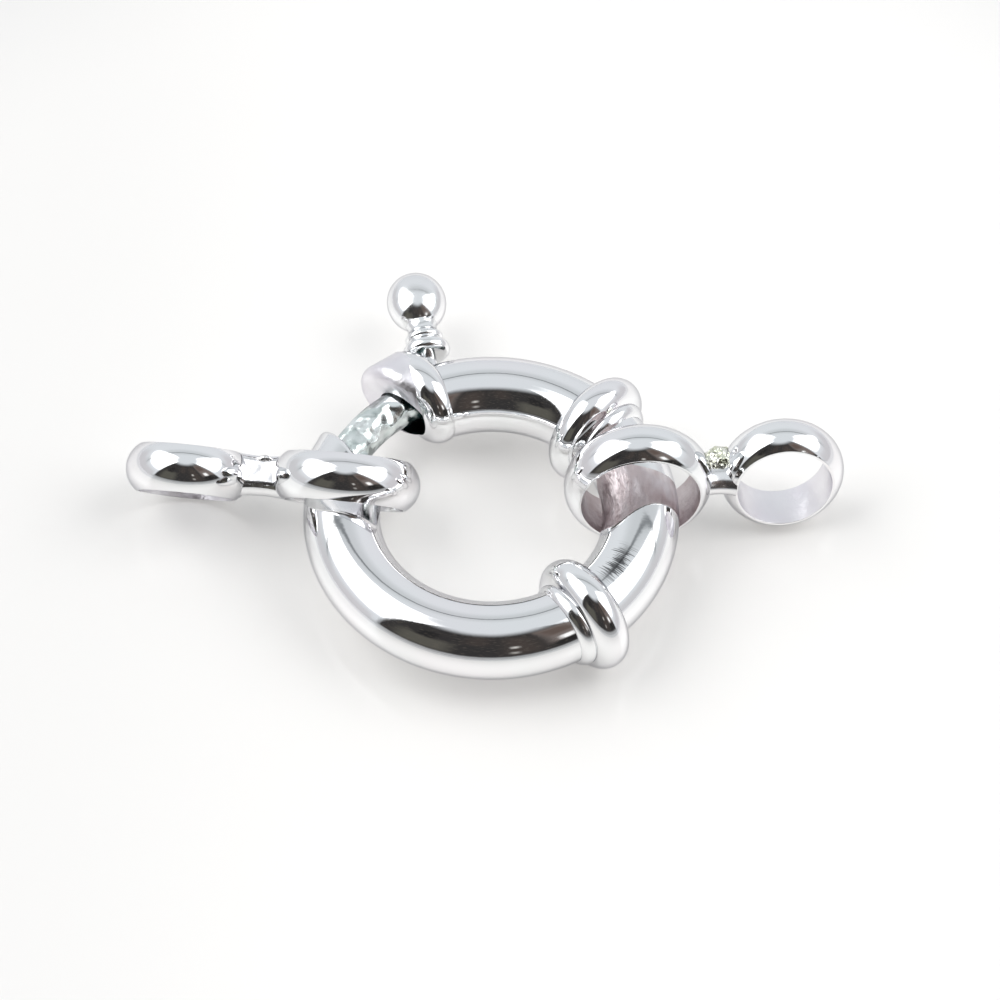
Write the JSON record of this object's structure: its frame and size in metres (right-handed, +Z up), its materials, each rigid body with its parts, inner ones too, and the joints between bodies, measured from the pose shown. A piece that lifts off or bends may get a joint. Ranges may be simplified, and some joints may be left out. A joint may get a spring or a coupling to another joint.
{
  "type": "spring ring clasp",
  "caption": "Jewellery clasp: a sprung curved bolt, pulled back by a ball trigger, closes the gap of a round tube ring that carries a figure-eight end link at each side",
  "frame": {"origin": "centre of the ring, at the crossing of its axis and the middle plane of its tube", "axes": "+Z up along the ring's axis; +X towards the open end link, to the right in the picture; +Y away from the viewer, the side where the ball trigger stands out"},
  "size_m": [0.0269, 0.0183, 0.0055],
  "materials": {
    "silver": "polished silver, mirror bright",
    "bolt_metal": "scuffed bare metal, worn by sliding",
    "spring_wire": "drawn spring wire"
  },
  "bodies": {
    "ring": {"ring_body": "silver", "spring": "spring_wire", "left_eight": "silver", "right_eight": "silver"},
    "bolt_unit": {"bolt": "bolt_metal", "trigger_knob": "silver"}
  },
  "joints": [
    {"name": "bolt_slide", "type": "hinge", "parent": "ring", "child": "bolt_unit", "pos_m": [0, 0, 0], "axis": [0, 0, -1], "range_deg": [0, 36], "stiffness_Nm_per_rad": 0.002, "springref_deg": -34.38, "deforming": ["spring"]}
  ]
}
